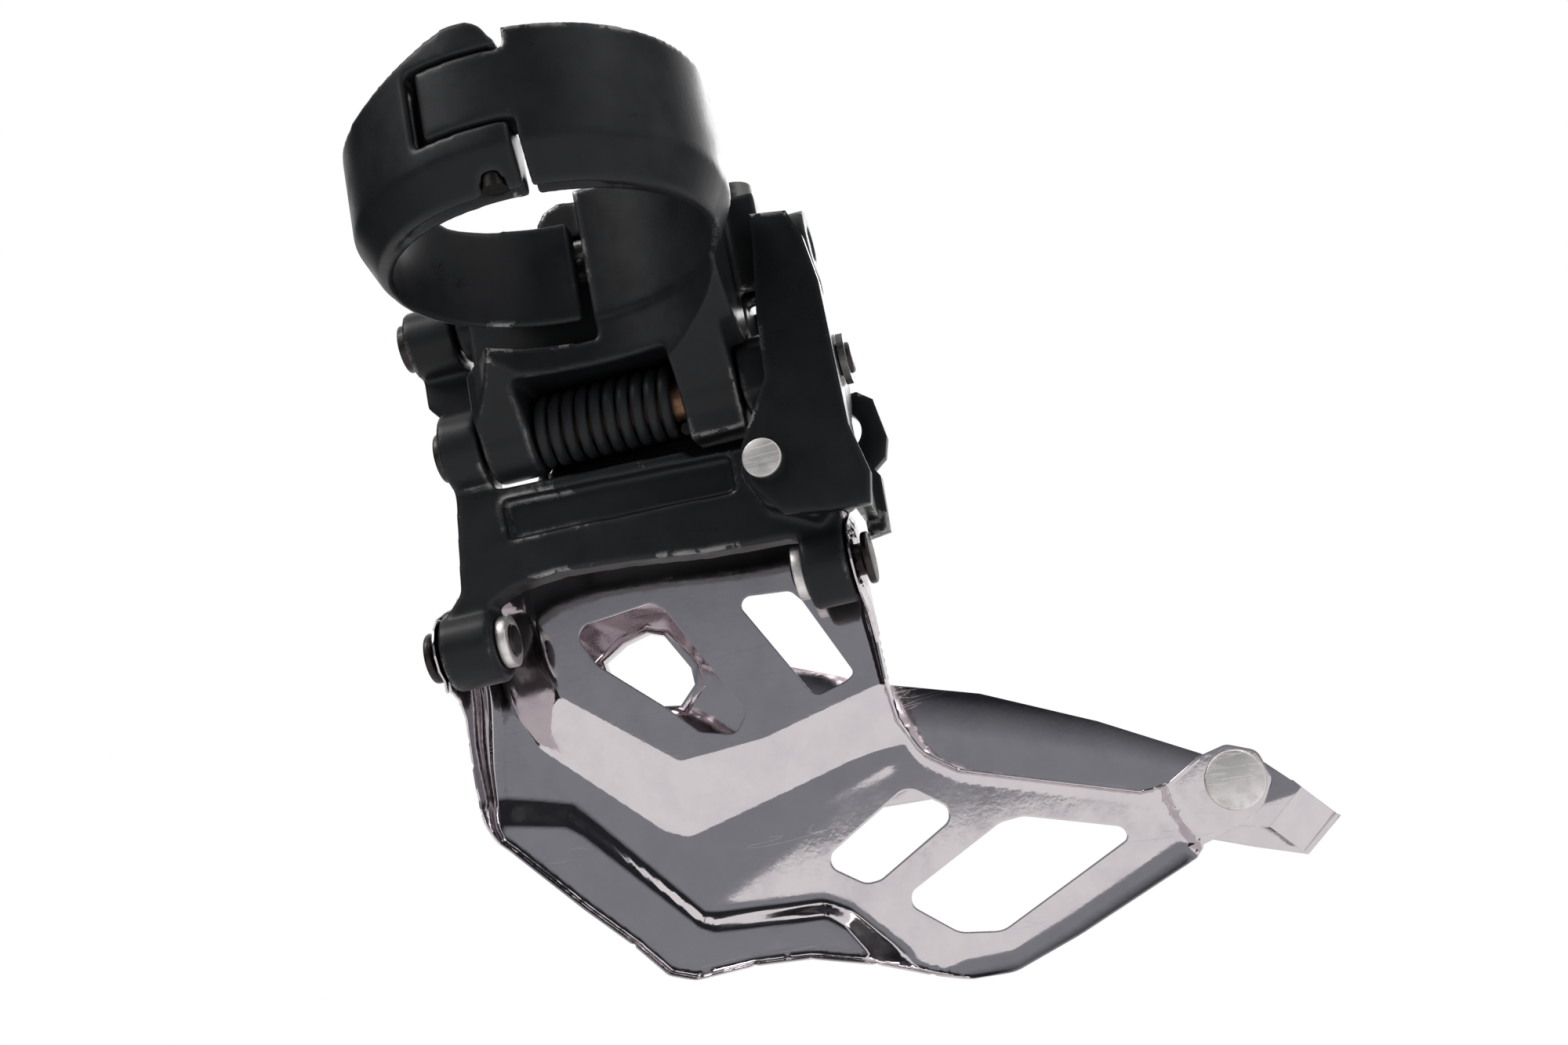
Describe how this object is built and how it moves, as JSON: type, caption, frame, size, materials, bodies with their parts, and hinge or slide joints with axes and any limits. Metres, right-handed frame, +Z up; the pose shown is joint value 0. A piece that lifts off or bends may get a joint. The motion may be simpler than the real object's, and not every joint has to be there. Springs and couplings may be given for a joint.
{
  "type": "front derailleur",
  "caption": "Bicycle front derailleur with a hinged seat-tube clamp, a sprung parallelogram linkage and a pressed chain cage below it.",
  "frame": {"origin": "centre of the seat-tube clamp bore", "axes": "+Z up the seat tube, +X to the rear wheel, +Y outboard towards the chainrings"},
  "size_m": [0.1012, 0.0715, 0.1023],
  "materials": {
    "black_paint": "satin black coat on die-cast alloy",
    "black_plate": "satin black coat on pressed steel",
    "cage_chrome": "bright chrome on pressed steel",
    "rivet_steel": "bright turned rivet",
    "pin_steel": "oiled dark pin",
    "bolt_steel": "zinc-plated",
    "spring_black": "blackened spring wire",
    "bronze": "sintered bronze sleeve"
  },
  "bodies": {
    "body": {"main_body": "black_paint", "outer_pivot_pin": "pin_steel", "clamp_hinge_pin": "pin_steel", "return_spring": "spring_black"},
    "band": {"clamp_band": "black_paint", "clamp_bolt_washer": "bolt_steel"},
    "bolt": {"clamp_bolt": "bolt_steel"},
    "inner_link": {"inner_link": "black_paint", "lever_plate": "black_plate", "lever_rivet": "rivet_steel", "inner_pivot_pin": "pin_steel", "inner_pin_clip": "bolt_steel", "spring_sleeve": "bronze", "cable_nut": "bolt_steel", "cable_plate": "bolt_steel"},
    "cable_bolt": {"cable_bolt": "bolt_steel"},
    "outer_link": {"outer_link": "black_paint"},
    "cage": {"cage_inner_plate": "cage_chrome", "cage_outer_plate": "cage_chrome", "cage_tail_rivet": "rivet_steel", "cage_pin_front": "pin_steel", "cage_pin_rear": "pin_steel", "pin_collar_front": "rivet_steel", "pin_collar_rear": "rivet_steel", "outer_link_cage_pin": "pin_steel"},
    "low_screw": {"limit_screw_low": "bolt_steel"},
    "high_screw": {"limit_screw_high": "bolt_steel"}
  },
  "joints": [
    {"name": "inner_link_swing", "type": "hinge", "parent": "body", "child": "inner_link", "pos_m": [0, 0.0242, -0.0201], "axis": [1, 0, 0], "range_deg": [0, 40], "stiffness_Nm_per_rad": 0.4, "springref_deg": -45.84, "deforming": ["return_spring"]},
    {"name": "outer_link_swing", "type": "hinge", "parent": "body", "child": "outer_link", "pos_m": [0, 0.0302, -0.0025], "axis": [1, 0, 0], "range_deg": [0, 40]},
    {"name": "cage_pivot", "type": "hinge", "parent": "inner_link", "child": "cage", "pos_m": [0, 0.0261, -0.0439], "axis": [1, 0, 0], "range_deg": [-40, 0]},
    {"name": "clamp_band_hinge", "type": "hinge", "parent": "body", "child": "band", "pos_m": [0.0003, -0.01965, 0], "axis": [0, 0, 1], "range_deg": [0, 70]},
    {"name": "clamp_bolt_turn", "type": "hinge", "parent": "band", "child": "bolt", "pos_m": [-0.015, 0.0229, 0.0008], "axis": [1, 0, 0], "range_deg": [-720, 720]},
    {"name": "cable_bolt_turn", "type": "hinge", "parent": "inner_link", "child": "cable_bolt", "pos_m": [0.0206, 0.031, -0.0313], "axis": [0, 1, 0], "range_deg": [-720, 720]},
    {"name": "low_screw_turn", "type": "hinge", "parent": "body", "child": "low_screw", "pos_m": [0.011, 0.0236, 0.0022], "axis": [0, 0, 1], "range_deg": [-1080, 1080]},
    {"name": "high_screw_turn", "type": "hinge", "parent": "body", "child": "high_screw", "pos_m": [0.0172, 0.0236, 0.0022], "axis": [0, 0, 1], "range_deg": [-1080, 1080]}
  ],
  "couplings": [
    {"joint": "outer_link_swing", "follows": "inner_link_swing", "ratio": 1},
    {"joint": "cage_pivot", "follows": "inner_link_swing", "ratio": -1}
  ]
}
